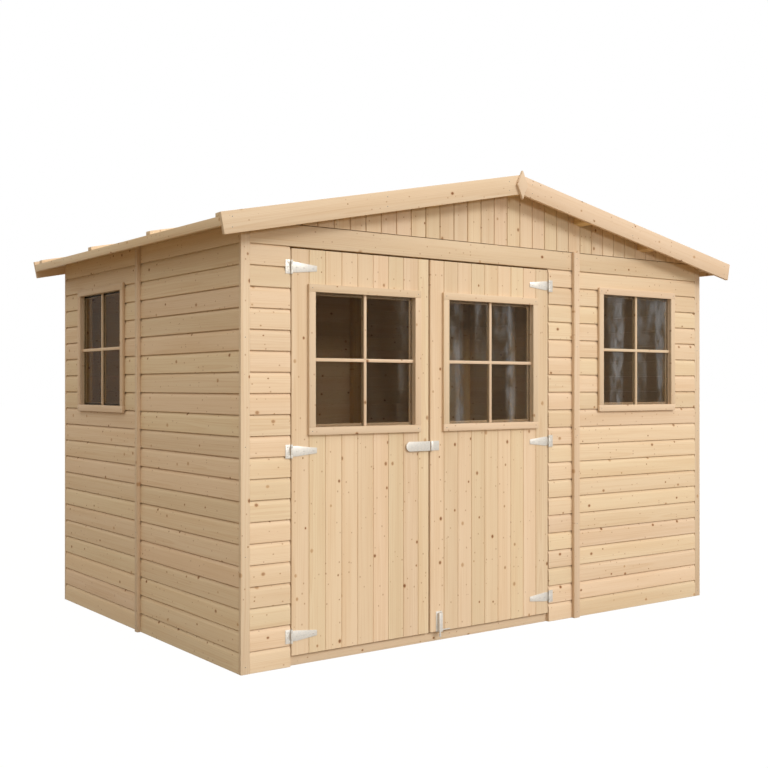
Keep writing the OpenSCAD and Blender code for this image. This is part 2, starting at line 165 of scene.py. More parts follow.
# Camera: focal length in mm, place, and tilt and turn in degrees
CAMERA_LENS = 51.73
CAMERA_PLACE = (-3.638, -4.959, 1.175)
CAMERA_TILT = 90.1165
CAMERA_TURN = -36.207
WHITE = (1, 1, 1, 1)


def far_point(node, way):
    """The point of a CAD node that lies furthest one way."""
    points = (v.co for v in frame["nodes"][node].data.vertices)
    return max(points, key=lambda p: p.dot(way)).copy()


# Outer faces of the walls, thickness of the cladding and of the trims, and the foot of the header
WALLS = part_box("corner_boards")[1] * Vector((1, 1, 0))
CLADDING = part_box("front_header")[1].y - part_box("front_header")[0].y
TRIM_T = -WALLS.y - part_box("wall_window_frames")[0].y
HEAD_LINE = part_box("front_header")[0].z

# The right-hand slope: its top at the ridge and at the eave, and its underside at the ridge, which
# is the lowest of its points furthest left
RIDGE = far_point("right_roof_boards", Z - X) * Vector((1, 0, 1))
EAVE = far_point("right_roof_boards", Z + X) * Vector((1, 0, 1))
UNDER_RIDGE = far_point("right_roof_boards", -9 * X - Z) * Vector((1, 0, 1))
DOWN_RIGHT = (EAVE - RIDGE).normalized()
DOWN_LEFT = DOWN_RIGHT * Vector((-1, 1, 1))
UP_RIGHT = Vector((-DOWN_RIGHT.z, 0, DOWN_RIGHT.x))
UP_LEFT = UP_RIGHT * Vector((-1, 1, 1))


def add_object(name, data):
    made = bpy.data.objects.new(name, data)
    bpy.context.scene.collection.objects.link(made)
    return made


# ---------- solids ----------

def faced_outwards(part):
    """Turns the faces of a closed solid outwards."""
    part.normal_update()
    bmesh.ops.recalc_face_normals(part, faces=part.faces)
    return part


def solid(ring, shift):
    """A closed solid between a ring of points and the same ring moved by a shift."""
    part = bmesh.new()
    near = [part.verts.new(p) for p in ring]
    far = [part.verts.new(Vector(p) + Vector(shift)) for p in ring]
    part.faces.new(near)
    part.faces.new(far[::-1])
    for i in range(len(near)):
        part.faces.new((near[i], near[i - 1], far[i - 1], far[i]))
    return faced_outwards(part)


def board(section, start, end):
    """A board along X whose section is drawn across and into the wall."""
    return solid([(start, u, v) for u, v in section], (end - start, 0, 0))


def block(low, high):
    """A box between two corners."""
    corners = ((low[0], low[1]), (high[0], low[1]), (high[0], high[1]), (low[0], high[1]))
    return solid([(x, y, low[2]) for x, y in corners], (0, 0, high[2] - low[2]))


def rounded(part, amount=EDGE):
    """Rounds the sharp edges of a solid."""
    limit = math.radians(ROUND_OVER)
    edges = [e for e in part.edges if len(e.link_faces) == 2 and e.calc_face_angle() > limit]
    bmesh.ops.bevel(
        part, geom=edges, offset=amount, segments=2, profile=0.5, affect="EDGES", clamp_overlap=True)
    return part


def trimmed(part, where, point, outward):
    """Cuts away what lies outward of a plane, given in the model's frame, and closes the cut."""
    geometry = part.verts[:] + part.edges[:] + part.faces[:]
    point, outward = where.inverted() @ point, where.to_3x3().transposed() @ outward
    bmesh.ops.bisect_plane(part, geom=geometry, plane_co=point, plane_no=outward, clear_outer=True)
    rim = [e for e in part.edges if len(e.link_faces) == 1]
    if rim:
        bmesh.ops.edgenet_fill(part, edges=rim)
    return faced_outwards(part)


def flattened(part):
    """Makes faces that lie in one plane into one face."""
    part.normal_update()
    limit = math.radians(FLAT_WITHIN)
    bmesh.ops.dissolve_limit(part, angle_limit=limit, verts=part.verts, edges=part.edges)
    return part


def cad_solids(node):
    """The separate solids of a CAD node, with their flat faces whole again."""
    whole = bmesh.new()
    whole.from_mesh(frame["nodes"][node].data)
    bmesh.ops.remove_doubles(whole, verts=whole.verts, dist=WELD)
    found, seen = [], set()
    for first in whole.verts:
        if first in seen:
            continue
        # The keys of faces stand in the order in which they were found, which is the same each run
        group, faces, queue = {}, {}, [first]
        seen.add(first)
        part = bmesh.new()
        while queue:
            v = queue.pop()
            group[v] = part.verts.new(v.co)
            faces.update(dict.fromkeys(v.link_faces))
            for e in v.link_edges:
                other = e.other_vert(v)
                if other not in seen:
                    seen.add(other)
                    queue.append(other)
        for f in faces:
            part.faces.new([group[v] for v in f.verts])
        found.append(flattened(part))
    whole.free()
    return found


def hull(part):
    """The same solid without inner faces; for a solid with no hollows in its outline."""
    made = bmesh.new()
    corners = [made.verts.new(v.co) for v in part.verts]
    bmesh.ops.convex_hull(made, input=corners)
    part.free()
    return flattened(made)


def span(part):
    """Lowest and highest corner of a solid."""
    low = Vector(min(v.co[i] for v in part.verts) for i in range(3))
    high = Vector(max(v.co[i] for v in part.verts) for i in range(3))
    return low, high


def reach(part, way):
    """How far a solid extends one way."""
    along = [v.co.dot(way) for v in part.verts]
    return max(along) - min(along)


def corner(low, high, *ways):
    """The corner of a box from which all these ways lead inwards."""
    way = sum(ways, Vector())
    return Vector(low[i] if way[i] > 0 else high[i] for i in range(3))


def place(origin, along, across, inward):
    """Where a board lies: X along its grain, Y across it and Z into it."""
    made = Matrix((along, across, inward)).transposed().to_4x4()
    made.translation = origin
    return made


class Piece:
    """One mesh gathered from boards. Each corner keeps its place in its own board's timber."""

    def __init__(self):
        self.points, self.faces, self.grain, self.tint = [], [], [], []

    def add(self, part, where):
        """Adds a solid drawn in a board's own frame."""
        pith = Vector((
            chance.uniform(0, TIMBER_LENGTH), chance.uniform(-PITH_ACROSS, PITH_ACROSS),
            chance.uniform(*PITH_INWARD)))
        tint = (chance.random(), chance.random(), chance.random())
        start = len(self.points)
        part.verts.index_update()
        self.points.extend(where @ v.co for v in part.verts)
        for f in part.faces:
            corners = list(f.verts) if where.determinant() > 0 else list(f.verts)[::-1]
            self.faces.append([start + v.index for v in corners])
            self.grain.extend(v.co + pith for v in corners)
            self.tint.extend([tint] * len(corners))
        part.free()

    def add_cad(self, part, along, amount=EDGE):
        """Adds a solid of the CAD model with its edges rounded and its grain along one way."""
        along = along.normalized()
        across = Y if abs(along.y) < 0.5 else X
        across = (across - along * across.dot(along)).normalized()
        inward = along.cross(across)
        if reach(part, inward) > reach(part, across):
            across, inward = inward, across
        where = place(span(part)[0], along, across, inward)
        part.transform(where.inverted())
        self.add(rounded(faced_outwards(part), amount), where)

    def mesh(self, name):
        made = bpy.data.meshes.new(name)
        made.from_pydata(self.points, [], self.faces)
        for title, values in (("grain", self.grain), ("tint", self.tint)):
            layer = made.attributes.new(title, "FLOAT_VECTOR", "CORNER")
            layer.data.foreach_set("vector", [number for value in values for number in value])
        made.shade_smooth()
        made.set_sharp_from_angle(angle=math.radians(SHARP_OVER))
        return made

    def stand_for(self, node, material):
        """Makes the object that is shown in place of a CAD node."""
        shown = self.object(node + "_shown", material)
        body = frame["nodes"][node]["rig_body"]
        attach(shown, body)
        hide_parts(node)
        return shown

    def object(self, name, material):
        shown = add_object(name, self.mesh(name))
        shown.data.materials.append(material)
        return shown


def cut(shown, tools):
    """Takes solids out of an object."""
    mesh = bpy.data.meshes.new("tool")
    whole = bmesh.new()
    for tool in tools:
        tool.to_mesh(mesh)
        whole.from_mesh(mesh)
        tool.free()
    whole.to_mesh(mesh)
    tool = add_object("tool", mesh)
    change = shown.modifiers.new("cut", "BOOLEAN")
    change.operation = "DIFFERENCE"
    change.solver = "EXACT"
    change.object = tool
    depsgraph = bpy.context.evaluated_depsgraph_get()
    result = bpy.data.meshes.new_from_object(
        shown.evaluated_get(depsgraph), preserve_all_data_layers=True, depsgraph=depsgraph)
    shown.modifiers.clear()
    shown.data = result
    bpy.data.objects.remove(tool)


# ---------- materials ----------

class Tree:
    """The nodes of a new material, or of a world. A value may be a socket, a number or a colour."""

    def __init__(self, name, world=None):
        self.owner = world or bpy.data.materials.new(name)
        self.owner.use_nodes = True
        self.tree = self.owner.node_tree
        self.tree.nodes.clear()

    def node(self, kind, values=(), **settings):
        """Adds a node with its settings and the values of its inputs."""
        made = self.tree.nodes.new("ShaderNode" + kind)
        for key, value in settings.items():
            setattr(made, key, value)
        for key, value in dict(values).items():
            self.feed(made.inputs[key], value)
        return made

    def feed(self, socket, value):
        if isinstance(value, bpy.types.NodeSocket):
            self.tree.links.new(value, socket)
        elif value is not None:
            socket.default_value = value

    def attribute(self, name):
        return self.node("Attribute", attribute_name=name).outputs["Vector"]

    def split(self, vector):
        return self.node("SeparateXYZ", {0: vector}).outputs

    def vector(self, x, y, z):
        return self.node("CombineXYZ", {0: x, 1: y, 2: z}).outputs[0]

    def math(self, operation, a, b=None, clamp=False):
        return self.node("Math", {0: a, 1: b}, operation=operation, use_clamp=clamp).outputs[0]

    def scaled(self, vector, factors):
        return self.node("VectorMath", {0: vector, 1: factors}, operation="MULTIPLY").outputs[0]

    def mix(self, share, a, b):
        """Colour a where the share is 0, and colour b where it is 1."""
        return self.node("Mix", {0: share, 6: a, 7: b}, data_type="RGBA").outputs[2]

    def noise(self, vector, detail=2.0, roughness=0.5):
        values = {"Vector": vector, "Scale": 1.0, "Detail": detail, "Roughness": roughness}
        return self.node("TexNoise", values).outputs["Fac"]

    def rise(self, value, low, high, bottom=0.0, top=1.0):
        """Follows a value from bottom to top while it goes from low to high."""
        values = {0: value, 1: low, 2: high, 3: bottom, 4: top}
        return self.node("MapRange", values, interpolation_type="SMOOTHSTEP").outputs[0]

    def finish(self, **inputs):
        """Ends a material with one shader, and returns the material, the shader and the output."""
        values = {key.replace("_", " "): value for key, value in inputs.items()}
        shader = self.node("BsdfPrincipled", values)
        output = self.node("OutputMaterial", {"Surface": shader.outputs[0]})
        return self.owner, shader, output


def colour(red, green, blue):
    """A colour written as it looks on a screen, 0 to 255."""
    return tuple((c / 255) ** 2.2 for c in (red, green, blue)) + (1,)


# Cells that may hold a knot or a pin knot, and rings, for each metre of wood
KNOT_CELLS = 10.0
PIN_CELLS = 23.0
RINGS = 260.0
# The largest knot as a share of its cell, the least size that a distance is divided by, and how much
# more a knot stretches along the board than across
KNOT_SIZE = 0.075
LEAST_KNOT = 0.004
KNOT_STRETCH = 1.25
KNOT_CORE = colour(118, 70, 36)
KNOT_RIM = colour(186, 136, 84)
PIN_KNOT = colour(160, 108, 66)
# Zinc: crystals for each metre, and the tones of its crystals and scratches
CRYSTALS = 170.0
CRYSTAL = colour(170, 174, 178)
SCRATCH = colour(150, 152, 156)
# Glass: a thin haze everywhere and painted reflections in pale upright patches, what passes where there
# is neither, and the two tones
THIN_HAZE = 0.012
PATCH_REFLECTION = 0.15
CLEAR = 0.995
CLEAR_TONE = colour(203, 193, 175)
HAZE_AND_REFLECTION_TONE = colour(194, 194, 194)
LAMP_TONE = (0.92, 0.92, 0.92, 1)


def wood(name, pink, yellow, deep, knotty=0.35, rough=0.62):
    """Planed softwood: rings, streaks and knots that follow each board, which has its own tone."""
    tree = Tree(name)
    grain = tree.attribute("grain")
    along, across, inward = tree.split(grain)
    bright, warm = tree.split(tree.attribute("tint"))[:2]

    # Knots lie on a plane sheet of cells, and go right through the board
    sheet = tree.vector(along, tree.math("MULTIPLY", across, KNOT_STRETCH), 0.0)
    values = {"Vector": sheet, "Scale": KNOT_CELLS, "Randomness": 0.75}
    cells = tree.node("TexVoronoi", values, voronoi_dimensions="2D")
    kind = tree.split(cells.outputs["Color"])
    size = tree.math("MULTIPLY", tree.math("POWER", tree.rise(kind[0], knotty, 1.0), 2.2), KNOT_SIZE)
    away = tree.math("DIVIDE", cells.outputs["Distance"], tree.math("MAXIMUM", size, LEAST_KNOT))
    core = tree.rise(away, 1.15, 0.75)
    rim = tree.rise(away, 1.9, 0.9)
    swirl = tree.rise(away, 2.3, 0.6)

    # Smaller pin knots, on a finer sheet
    pins = tree.node("TexVoronoi", {"Vector": sheet, "Scale": PIN_CELLS}, voronoi_dimensions="2D")
    pin_kind = tree.split(pins.outputs["Color"])[0]
    pin_size = tree.rise(pin_kind, 0.6, 1.0, 0.0, 0.1)
    pin = tree.math("DIVIDE", pins.outputs["Distance"], tree.math("MAXIMUM", pin_size, LEAST_KNOT))
    pin = tree.rise(pin, 1.5, 0.3)
    pin = tree.math("MULTIPLY", pin, tree.rise(pin_kind, 0.65, 0.9))

    # Rings lie round the pith, wander and widen along the board, and bend round the knots
    wander = tree.noise(tree.scaled(grain, (0.9, 7.0, 7.0)))
    from_pith = tree.vector(0.0, across, inward)
    radius = tree.node("VectorMath", {0: from_pith}, operation="LENGTH").outputs["Value"]
    radius = tree.math("ADD", radius, tree.math("MULTIPLY", wander, 0.016))
    radius = tree.math("ADD", radius, tree.math("MULTIPLY", along, 0.0023))
    radius = tree.math("ADD", radius, tree.math("MULTIPLY", swirl, 0.004))
    ring = tree.math("FRACT", tree.math("MULTIPLY", radius, RINGS))
    late = tree.math("MULTIPLY", tree.math("POWER", ring, 3.0), tree.rise(ring, 1.0, 0.9))

    streak = tree.noise(tree.scaled(grain, (2.2, 130.0, 130.0)), 3.0, 0.6)
    broad = tree.noise(tree.scaled(grain, (0.8, 16.0, 16.0)))

    base = tree.mix(warm, pink, yellow)
    base = tree.mix(tree.math("MULTIPLY", late, 0.42), base, deep)
    base = tree.mix(tree.rise(streak, 0.45, 0.8, 0.0, 0.38), base, deep)
    base = tree.mix(tree.rise(broad, 0.4, 0.75, 0.0, 0.30), base, deep)
    tone = tree.rise(bright, 0.0, 1.0, 0.95, 1.03)
    base = tree.node("VectorMath", {0: base, 3: tone}, operation="SCALE").outputs[0]
    base = tree.mix(tree.math("MULTIPLY", swirl, 0.22), base, deep)
    base = tree.mix(tree.math("MULTIPLY", rim, 0.45), base, KNOT_RIM)
    dark = tree.math("MULTIPLY", core, tree.rise(kind[1], 0.0, 1.0, 0.15, 0.9))
    base = tree.mix(dark, base, KNOT_CORE)
    base = tree.mix(tree.math("MULTIPLY", pin, 0.6), base, PIN_KNOT)

    height = tree.math("ADD", tree.math("MULTIPLY", streak, 0.8), tree.math("MULTIPLY", late, -0.5))
    height = tree.math("ADD", height, tree.math("MULTIPLY", core, 0.8))
    bump = tree.node("Bump", {"Strength": 0.35, "Distance": 0.0006, "Height": height})
    roughness = tree.rise(streak, 0.3, 0.8, rough, rough + 0.14)
    return tree.finish(
        Base_Color=base, Roughness=roughness, Normal=bump.outputs[0], Specular_IOR_Level=0.3)[0]


def zinc(name, tone):
    """Bright zinc plate: faint crystals, small scratches and a soft gloss."""
    tree = Tree(name)
    where = tree.node("TexCoord").outputs["Object"]
    crystals = tree.node("TexVoronoi", {"Vector": where, "Scale": CRYSTALS})
    flake = tree.split(crystals.outputs["Color"])[0]
    scratch = tree.noise(tree.scaled(where, (900.0, 60.0, 60.0)))
    base = tree.mix(tree.math("MULTIPLY", flake, 0.25), tone, CRYSTAL)
    base = tree.mix(tree.rise(scratch, 0.55, 0.8, 0.0, 0.35), base, SCRATCH)
    bump = tree.node("Bump", {"Strength": 0.2, "Distance": 0.0002, "Height": scratch})
    roughness = tree.rise(tree.math("ADD", flake, scratch), 0.3, 1.5, 0.36, 0.56)
    return tree.finish(Base_Color=base, Roughness=roughness, Normal=bump.outputs[0], Metallic=0.7)[0]


def glazing(name):
    """Clear glass with a thin haze, and soft upright patches of pale grey that are painted reflections.
    """
    tree = Tree(name)
    where = tree.node("TexCoord").outputs["Object"]
    # The soft upright patches are painted reflections: pale diffuse grey in place of clear glass
    upright = tree.rise(tree.noise(tree.scaled(where, (12.0, 12.0, 0.9)), 1.0), 0.44, 0.74)
    broken_reflection = tree.noise(tree.scaled(where, (26.0, 26.0, 13.0)), 3.0, 0.6)
    haze_and_reflection = tree.math("MULTIPLY", upright, tree.rise(broken_reflection, 0.34, 0.68, 0.12, 1.0))
    # There is less of the haze and of the painted reflections on the left
    spread = tree.rise(tree.split(where)[0], -1.0, -0.1)
    haze_and_reflection = tree.math("MULTIPLY", haze_and_reflection, tree.math("MULTIPLY", spread, PATCH_REFLECTION))
    haze_and_reflection = tree.math("ADD", haze_and_reflection, tree.math("MULTIPLY", spread, THIN_HAZE))
    clear = tree.math("SUBTRACT", CLEAR, haze_and_reflection)
    # Pale grey where there is haze or a painted reflection
    tone = tree.mix(tree.rise(haze_and_reflection, 0.0, 0.1), CLEAR_TONE, HAZE_AND_REFLECTION_TONE)
    material, shader, output = tree.finish(
        Base_Color=tone, Roughness=0.02, IOR=1.06, Specular_IOR_Level=0.5,
        Transmission_Weight=clear)
    # Lamps shine through it
    through = tree.node("BsdfTransparent", {"Color": LAMP_TONE})
    shadow = tree.node("LightPath").outputs["Is Shadow Ray"]
    both = tree.node("MixShader", {0: shadow, 1: shader.outputs[0], 2: through.outputs[0]})
    tree.feed(output.inputs["Surface"], both.outputs[0])
    return material


PINE = wood("pine", colour(232, 206, 178), colour(230, 209, 176), colour(210, 174, 132))
TRIM = wood(
    "trim_pine", colour(228, 203, 177), colour(226, 204, 175), colour(206, 171, 132), knotty=0.5)
FRAMING = wood(
    "frame_pine", colour(222, 188, 140), colour(226, 194, 140), colour(190, 146, 94), rough=0.75)
STEEL = zinc("zinc_plate", colour(212, 205, 194))
NAIL = zinc("dull_zinc", colour(126, 120, 110))
GLASS = glazing("window_glass")


# ---------- boards ----------

def shiplap_section(cover, lowest, highest, depth):
    """A shiplap board: square foot, flat face, and a sloped top with a groove under the next board."""
    section = [(GAP, EDGE), (GAP + EDGE, 0)]
    top = cover - GROOVE_H
    for i in range(SLOPE_STEPS + 1):
        share = i / SLOPE_STEPS
        section.append((top - SLOPE_H * (1 - share), SLOPE_DEPTH * share ** SLOPE_CURVE))
    section += [(top + EDGE, SLOPE_DEPTH + EDGE), (top + EDGE, GROOVE_DEPTH)]
    if highest:
        section.append((cover, GROOVE_DEPTH))
    else:
        section += [
            (cover + TONGUE, GROOVE_DEPTH), (cover + TONGUE, GROOVE_DEPTH + TONGUE),
            (cover, GROOVE_DEPTH + TONGUE)]
    section += [
        (cover, depth - BACK_VEE), (cover - BACK_VEE, depth),
        (GAP + BACK_VEE, depth), (GAP, depth - BACK_VEE)]
    if not lowest:
        section += [
            (GAP, GROOVE_DEPTH + TONGUE + GAP), (GAP + TONGUE, GROOVE_DEPTH + TONGUE + GAP),
            (GAP + TONGUE, GROOVE_DEPTH - GAP), (GAP, GROOVE_DEPTH - GAP)]
    return section


def matchboard_section(cover, first, last, depth, vee=VEE, gap=GAP):
    """A matchboard: a small vee at each joint, with a tongue in the next board's groove."""
    front, back = TONGUE_FRONT * depth, TONGUE_BACK * depth
    section = [(vee, 0), (cover - vee, 0), (cover - gap, vee)]
    if not last:
        section += [
            (cover - gap, front), (cover + TONGUE, front),
            (cover + TONGUE, back), (cover - gap, back)]
    section += [(cover - gap, depth), (gap, depth)]
    if not first:
        section += [
            (gap, back + GAP), (gap + TONGUE, back + GAP),
            (gap + TONGUE, front - GAP), (gap, front - GAP)]
    section.append((gap, vee))
    return section


def clad(node, side):
    """Shiplap over the whole of a wall node, from the ground to its top."""
    low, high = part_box(node)
    along, inward = SIDES[side]
    where = place(corner(low, high, along, inward, Z), along, Z, inward)
    size = high - low
    length, depth, top = abs(size.dot(along)), abs(size.dot(inward)), size.z
    # The joints are level all round, and counted down from the foot of the header
    joints = [HEAD_LINE - SHIPLAP * k for k in range(int(HEAD_LINE / SHIPLAP))]
    joints = [0] + sorted(z for z in joints if z < top - TOUCH) + [top]
    piece = Piece()
    for foot, head in zip(joints, joints[1:]):
        section = shiplap_section(head - foot, foot == 0, head == top, depth)
        piece.add(board(section, 0, length), where @ Matrix.Translation((0, foot, 0)))
    return piece.stand_for(node, PINE)


def upright_joints(width, first):
    """Places of the joints between upright boards, the first board's width apart from the rest."""
    count = int((width - first) / MATCHBOARD + 1 - LEAST_BOARD)
    return [0] + [first + MATCHBOARD * k for k in range(count)] + [width]


def leaf(node, first):
    """Upright matchboards over a door leaf."""
    low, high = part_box(node)
    size = high - low
    joints = upright_joints(size.x, first)
    piece = Piece()
    for start, end in zip(joints, joints[1:]):
        section = matchboard_section(end - start, start == 0, end == size.x, size.y)
        piece.add(board(section, 0, size.z), place(low + X * start, Z, X, Y))
    return piece.stand_for(node, PINE)


def gable(node, side):
    """Upright matchboards either side of the ridge, cut to the slopes and notched for the purlins."""
    low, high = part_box(node)
    inward = SIDES[side][1]
    count = math.ceil(high.x / MATCHBOARD)
    foot = corner(low, high, inward, Z) * Vector((0, 1, 1)) + Z * FOOT_GAP
    depth = high.y - low.y
    piece = Piece()
    for k in range(-count, count):
        start, end = max(k * MATCHBOARD, low.x), min((k + 1) * MATCHBOARD, high.x)
        first, last = k in (-count, 0), k in (-1, count - 1)
        section = matchboard_section(end - start, first, last, depth, DEEP_VEE, OPEN_GAP)
        where = place(foot + X * start, Z, X, inward)
        slope = UP_RIGHT if k >= 0 else UP_LEFT
        part = board(section, 0, 2 * (high.z - low.z))
        piece.add(trimmed(part, where, UNDER_RIDGE - Z * TOUCH, slope), where)
    shown = piece.stand_for(node, PINE)
    cut(shown, [hull(part) for part in cad_solids("purlins") + cad_solids("ridge_beam")])
    return shown


def roof(node, down, up):
    """Matchboards that run from the ridge to the eave, with their vees on the underside."""
    low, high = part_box(node)
    width = high.y - low.y
    length = (high.x - low.x) / abs(down.x) + (high.z - low.z)
    depth = (RIDGE - UNDER_RIDGE).dot(up)
    joints = [ROOF_BOARD * k for k in range(math.ceil(width / ROOF_BOARD))] + [width]
    side = X if down.x > 0 else -X
    end = X * (high.x if down.x > 0 else low.x)
    piece = Piece()
    for start, stop in zip(joints, joints[1:]):
        section = matchboard_section(stop - start, start == 0, stop == width, depth)
        where = place(UNDER_RIDGE * Vector((1, 0, 1)) + Y * (low.y + start), down, Y, up)
        part = trimmed(board(section, -depth, length), where, Vector(), -side)
        piece.add(trimmed(part, where, end, side), where)
    return piece.stand_for(node, PINE)


def floor(node):
    """Floor boards from front to back over the bearers."""
    low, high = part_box(node)
    width = high.x - low.x
    joints = [FLOOR_BOARD * k for k in range(math.ceil(width / FLOOR_BOARD))] + [width]
    piece = Piece()
    for start, end in zip(joints, joints[1:]):
        section = matchboard_section(end - start, start == 0, end == width, high.z - low.z)
        where = place(Vector((low.x + start, low.y, high.z)), Y, X, -Z)
        piece.add(board(section, 0, high.y - low.y), where)
    return piece.stand_for(node, FRAMING)


def header(node):
    """One plain board over the doors and one over the front window, meeting behind the cover strip."""
    low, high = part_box(node)
    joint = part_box("front_wall_right")[0].x
    piece = Piece()
    for start, end in ((low.x, joint - GAP), (joint + GAP, high.x)):
        plank = block((start, low.y, low.z + GAP), (end, high.y, high.z - GAP))
        piece.add_cad(plank, X)
    return piece.stand_for(node, PINE)


def sill(node):
    """The rail under the leaves. Its knots run from the front to the back."""
    low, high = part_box(node)
    size = high - low
    piece = Piece()
    piece.add(rounded(block((0, 0, 0), (size.x, size.z, size.y))), place(low, X, Z, Y))
    return piece.stand_for(node, PINE)


def timber(node, material, grain=None):
    """The plain timbers of a node: each CAD solid, with rounded edges and grain along its length."""
    piece = Piece()
    for part in cad_solids(node):
        part = hull(part)
        longest = max(part.edges, key=lambda e: e.calc_length())
        piece.add_cad(part, grain or longest.verts[1].co - longest.verts[0].co)
    return piece.stand_for(node, material)


# ---------- windows ----------

def pane_side(low, high):
    """The wall that a pane of glass belongs to."""
    middle = (low + high) / 2
    if high.y - low.y < high.x - low.x:
        return "front" if middle.y < 0 else "back"
    return "left" if middle.x < 0 else "right"


class Window:
    """One window: where its opening lies on the cladding, seen from its pane."""

    def __init__(self, low, high):
        self.along, self.inward = SIDES[pane_side(low, high)]
        size, middle = high - low, (low + high) / 2
        behind = middle.dot(self.inward) + abs(WALLS.dot(self.inward))
        self.half_w, self.half_h = abs(size.dot(self.along)) / 2, size.z / 2
        self.glass_front = behind - abs(size.dot(self.inward)) / 2
        self.glass_back = behind + abs(size.dot(self.inward)) / 2
        self.middle = middle - self.inward * behind

    def level(self):
        return place(self.middle, self.along, Z, self.inward)

    def upright(self):
        return place(self.middle, Z, self.along, self.inward)

    def hole(self):
        """The hole through the boards, which also takes the lining."""
        half_w, half_h = self.half_w + LINING, self.half_h + LINING
        tool = block((-half_w, -half_h, -CLADDING), (half_w, half_h, 2 * CLADDING))
        tool.transform(self.level())
        return faced_outwards(tool)

    def build(self, piece):
        """Adds the trim, lining, glazing bars and beads."""
        def ring(inner, outer, front, back):
            """Four strips round the opening. The level ones run over the ends of the others."""
            for way in (-1, 1):
                level = sorted((way * (self.half_h + inner), way * (self.half_h + outer)))
                upright = sorted((way * (self.half_w + inner), way * (self.half_w + outer)))
                reach_w, reach_h = self.half_w + max(inner, outer), self.half_h + min(inner, outer)
                strip = block((-reach_w, level[0], front), (reach_w, level[1], back))
                piece.add(rounded(strip), self.level())
                strip = block((-reach_h, upright[0], front), (reach_h, upright[1], back))
                piece.add(rounded(strip), self.upright())

        def bar(where, half_length, front, back):
            strip = block((-half_length, -BAR_W / 2, front), (half_length, BAR_W / 2, back))
            piece.add(rounded(strip, 2 * EDGE), where)

        ring(0, TRIM_W, -TRIM_T, -TOUCH)
        ring(TOUCH, LINING, 0, CLADDING)
        ring(-BEAD_W, 0, self.glass_back, self.glass_back + BEAD_T)
        for lap, where, half in ((0, self.upright(), self.half_h), (TOUCH, self.level(), self.half_w)):
            bar(where, half, BAR_FRONT + lap, self.glass_front)
            bar(where, half, self.glass_back, self.glass_back + BEAD_T - lap)

    def nail(self, body):
        """A nail at each corner of the trim."""
        reach_w, reach_h = self.half_w + TRIM_W / 2, self.half_h + TRIM_W / 2
        for across, up in ((-1, -1), (-1, 1), (1, -1), (1, 1)):
            point = Vector((across * reach_w, up * reach_h, -TRIM_T))
            add_nail(body, self.level() @ point, self.inward)


def windows(frame_node, glass_node, walls):
    """Builds the windows of one frame node, and cuts their holes through the boards."""
    piece = Piece()
    for pane in cad_solids(glass_node):
        low, high = span(pane)
        opening = Window(low, high)
        opening.build(piece)
        opening.nail(frame["nodes"][frame_node]["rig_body"])
        for wall, shown in walls.items():
            wall_low, wall_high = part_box(wall)
            inside = opening.middle + opening.inward * CLADDING / 2
            if all(wall_low[i] < inside[i] < wall_high[i] for i in range(3)):
                cut(shown, [opening.hole()])
    piece.stand_for(frame_node, TRIM)
    glass = frame["nodes"][glass_node]
    glass.data.materials.clear()
    glass.data.materials.append(GLASS)


# ---------- ironmongery ----------

def metal(node):
    """The CAD solids of a metal node with their sharp edges eased."""
    piece = Piece()
    for part in cad_solids(node):
        piece.add_cad(part, Z, METAL_EDGE)
    return piece.stand_for(node, STEEL)


def domed_head(radius, height):
    """A shallow domed head that faces -Z, standing on the plane of its origin."""
    part = bmesh.new()
    loops = []
    for share_r, share_h in HEAD_RINGS:
        turns = [2 * math.pi * i / HEAD_SIDES for i in range(HEAD_SIDES)]
        ring = [(math.cos(a) * radius * share_r, math.sin(a) * radius * share_r) for a in turns]
        loops.append([part.verts.new((x, y, -height * share_h)) for x, y in ring])
    for low, high in zip(loops, loops[1:]):
        for i in range(HEAD_SIDES):
            part.faces.new((low[i - 1], low[i], high[i], high[i - 1]))
    part.faces.new(loops[0])
    part.faces.new(loops[-1])
    return faced_outwards(part)


def screw_head():
    """A domed head with a cross recess."""
    mesh = bpy.data.meshes.new("screw_head")
    head = domed_head(SCREW_R, SCREW_T)
    head.to_mesh(mesh)
    head.free()
    shown = add_object("screw_head", mesh)
    arm, half, bottom = CROSS_ARM * SCREW_R, CROSS_HALF * SCREW_R, -CROSS_FLOOR * SCREW_T
    cut(shown, [block((-arm, -half, -1), (arm, half, bottom))])
    cut(shown, [block((-half, -arm, -1), (half, arm, bottom))])
    mesh = shown.data
    bpy.data.objects.remove(shown)
    return mesh


def front_of(node):
    """Gives a function for where a line that starts a metre before a point first meets a CAD node."""
    part = bmesh.new()
    part.from_mesh(frame["nodes"][node].data)
    tree = BVHTree.FromBMesh(part)
    part.free()
    return lambda point, way: tree.ray_cast(point - way, way)[0]


def add_screw(body, point):
    """A screw in the front, turned to an angle of its own."""
    part = bmesh.new()
    part.from_mesh(SCREW_HEAD)
    turn = Matrix.Rotation(chance.uniform(0, math.pi), 4, "Z")
    SCREWS[body].add(part, place(point, X, Z, Y) @ turn)


def add_nail(body, point, inward):
    """A nail at a point of an outer face."""
    along = X if abs(inward.x) < 0.5 else Y
    NAILS[body].add(domed_head(NAIL_R, NAIL_T), place(point, along, Z, inward))


def nearest_hinge(x):
    """The hinge line nearest to a place along the front."""
    return min(HINGE_LINES, key=lambda line: abs(line - x))


def hinge_screws(node, body, shares):
    """Screws in each plate or strap of a node, at shares of the way from the hinge and of the height."""
    face = front_of(node)
    for part in cad_solids(node):
        low, high = span(part)
        away = X if abs(low.x - nearest_hinge(low.x)) < abs(high.x - nearest_hinge(high.x)) else -X
        start = corner(low, high, away, Z)
        for across, up in shares:
            point = start + away * (high.x - low.x) * across + Z * (high.z - low.z) * up
            found = face(point, Y)
            if found:
                add_screw(body, found)


